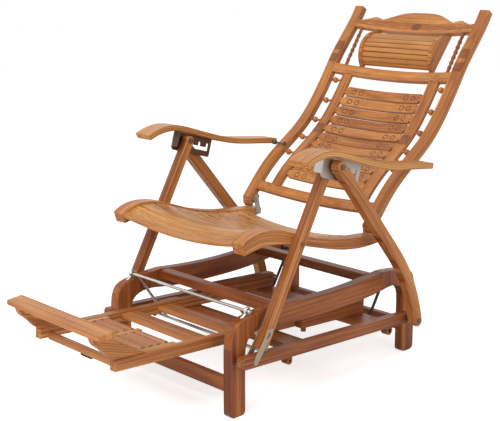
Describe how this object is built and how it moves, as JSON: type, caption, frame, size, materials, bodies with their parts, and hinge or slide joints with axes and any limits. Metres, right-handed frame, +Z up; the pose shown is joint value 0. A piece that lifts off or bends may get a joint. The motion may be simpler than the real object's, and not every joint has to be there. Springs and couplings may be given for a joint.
{
  "type": "recliner",
  "caption": "Folding recliner of laminated bamboo on a gliding base, with a curved slatted back, comb-adjusted armrests and a pull-out footrest with massage rollers",
  "frame": {"origin": "middle of the whole object's outline, on the floor", "axes": "+Z up, the sitter faces -Y, +X is the sitter's left"},
  "size_m": [0.642, 1.3715, 0.9393],
  "materials": {
    "bamboo": "lacquered laminated bamboo, honey brown",
    "dark_bamboo": "lacquered laminated bamboo, red brown",
    "turned_wood": "lacquered turned wood, red brown",
    "steel": "plated steel",
    "dark_steel": "dark plated steel"
  },
  "bodies": {
    "base": {"base_front_leg_left": "dark_bamboo", "base_front_leg_right": "dark_bamboo", "base_beam_left": "dark_bamboo", "base_beam_right": "dark_bamboo", "base_rear_leg_left": "dark_bamboo", "base_rear_leg_right": "dark_bamboo", "low_stretchers": "dark_bamboo", "upper_front_rail": "dark_bamboo", "upper_rear_rail": "dark_bamboo", "hanger_hooks": "steel", "hanger_eyes": "dark_steel"},
    "front_hanger": {"front_hanger": "steel"},
    "rear_hanger": {"rear_hanger": "dark_steel"},
    "swing_frame": {"swing_rail_left": "dark_bamboo", "swing_rail_right": "dark_bamboo", "front_board": "dark_bamboo", "rear_board": "dark_bamboo", "footrest_guides": "dark_bamboo", "rod_clips": "dark_bamboo", "rear_axles": "dark_steel"},
    "upper_frame": {"front_post_left": "bamboo", "front_post_right": "bamboo", "strap_hinges": "steel", "post_bolts": "dark_steel", "seat_rail_left": "bamboo", "seat_rail_right": "bamboo", "seat_front_slats": "bamboo", "seat_slats": "bamboo", "seat_hinges": "dark_steel"},
    "leg_left": {"bent_leg_left": "bamboo", "leg_bolts_left": "dark_steel"},
    "leg_right": {"bent_leg_right": "bamboo", "leg_bolts_right": "dark_steel"},
    "backrest": {"stile_left": "bamboo", "stile_right": "bamboo", "inner_stiles": "bamboo", "crest_rail": "bamboo", "mid_rail": "bamboo", "bottom_rail": "bamboo", "back_slats": "bamboo", "beads": "turned_wood", "spindles": "turned_wood", "headrest_ends": "bamboo", "headrest_slats": "bamboo", "back_hinges": "dark_steel", "arm_bolts": "dark_steel"},
    "arm_left": {"armrest_left": "bamboo", "comb_plate_left": "steel"},
    "arm_right": {"armrest_right": "bamboo", "comb_plate_right": "dark_steel"},
    "footrest": {"foot_rails": "bamboo", "foot_cross_slats": "bamboo", "foot_board": "bamboo", "foot_brackets": "bamboo", "roller_frame": "bamboo"},
    "roller_1": {"massage_roller_1": "turned_wood"},
    "roller_2": {"massage_roller_2": "turned_wood"},
    "roller_3": {"massage_roller_3": "turned_wood"},
    "roller_4": {"massage_roller_4": "turned_wood"}
  },
  "joints": [
    {"name": "glide", "type": "hinge", "parent": "base", "child": "front_hanger", "pos_m": [0, -0.278, 0.255], "axis": [1, 0, 0], "range_deg": [-5, 5]},
    {"name": "front_link_to_frame", "type": "hinge", "parent": "front_hanger", "child": "swing_frame", "pos_m": [0, -0.178, 0.115], "axis": [1, 0, 0], "range_deg": [-7.34, 7.34]},
    {"name": "rear_link", "type": "hinge", "parent": "base", "child": "rear_hanger", "pos_m": [0, 0.292, 0.225], "axis": [1, 0, 0], "range_deg": [-5.16, 5.16]},
    {"name": "frame_fold", "type": "hinge", "parent": "swing_frame", "child": "upper_frame", "pos_m": [0, -0.30069, 0.1457], "axis": [1, 0, 0], "range_deg": [0, 30]},
    {"name": "leg_left_pivot", "type": "hinge", "parent": "upper_frame", "child": "leg_left", "pos_m": [0, -0.042, 0.586], "axis": [1, 0, 0], "range_deg": [-63, 0]},
    {"name": "leg_right_pivot", "type": "hinge", "parent": "upper_frame", "child": "leg_right", "pos_m": [0, -0.042, 0.586], "axis": [1, 0, 0], "range_deg": [-63, 0]},
    {"name": "recline", "type": "hinge", "parent": "upper_frame", "child": "backrest", "pos_m": [0, 0.174, 0.389], "axis": [1, 0, 0], "range_deg": [0, 28.12]},
    {"name": "armrest_left_pivot", "type": "hinge", "parent": "backrest", "child": "arm_left", "pos_m": [0, 0.296, 0.544], "axis": [1, 0, 0], "range_deg": [-24.9, 0]},
    {"name": "armrest_right_pivot", "type": "hinge", "parent": "backrest", "child": "arm_right", "pos_m": [0, 0.296, 0.544], "axis": [1, 0, 0], "range_deg": [-24.9, 0]},
    {"name": "footrest_slide", "type": "slide", "parent": "swing_frame", "child": "footrest", "axis": [0, 0.9983, -0.0576], "range_m": [0, 0.25]},
    {"name": "roller_1_spin", "type": "hinge", "parent": "footrest", "child": "roller_1", "pos_m": [0, -0.51832, 0.18999], "axis": [1, 0, 0], "continuous": true},
    {"name": "roller_2_spin", "type": "hinge", "parent": "footrest", "child": "roller_2", "pos_m": [0, -0.49436, 0.1886], "axis": [1, 0, 0], "continuous": true},
    {"name": "roller_3_spin", "type": "hinge", "parent": "footrest", "child": "roller_3", "pos_m": [0, -0.4704, 0.18722], "axis": [1, 0, 0], "continuous": true},
    {"name": "roller_4_spin", "type": "hinge", "parent": "footrest", "child": "roller_4", "pos_m": [0, -0.44644, 0.18584], "axis": [1, 0, 0], "continuous": true}
  ],
  "couplings": [
    {"joint": "front_link_to_frame", "follows": "glide", "ratio": -1.4636},
    {"joint": "rear_link", "follows": "glide", "ratio": 1.0286},
    {"joint": "leg_left_pivot", "follows": "frame_fold", "ratio": -2.1},
    {"joint": "leg_right_pivot", "follows": "frame_fold", "ratio": -2.1},
    {"joint": "armrest_left_pivot", "follows": "recline", "ratio": -0.88494},
    {"joint": "armrest_right_pivot", "follows": "recline", "ratio": -0.88494}
  ]
}
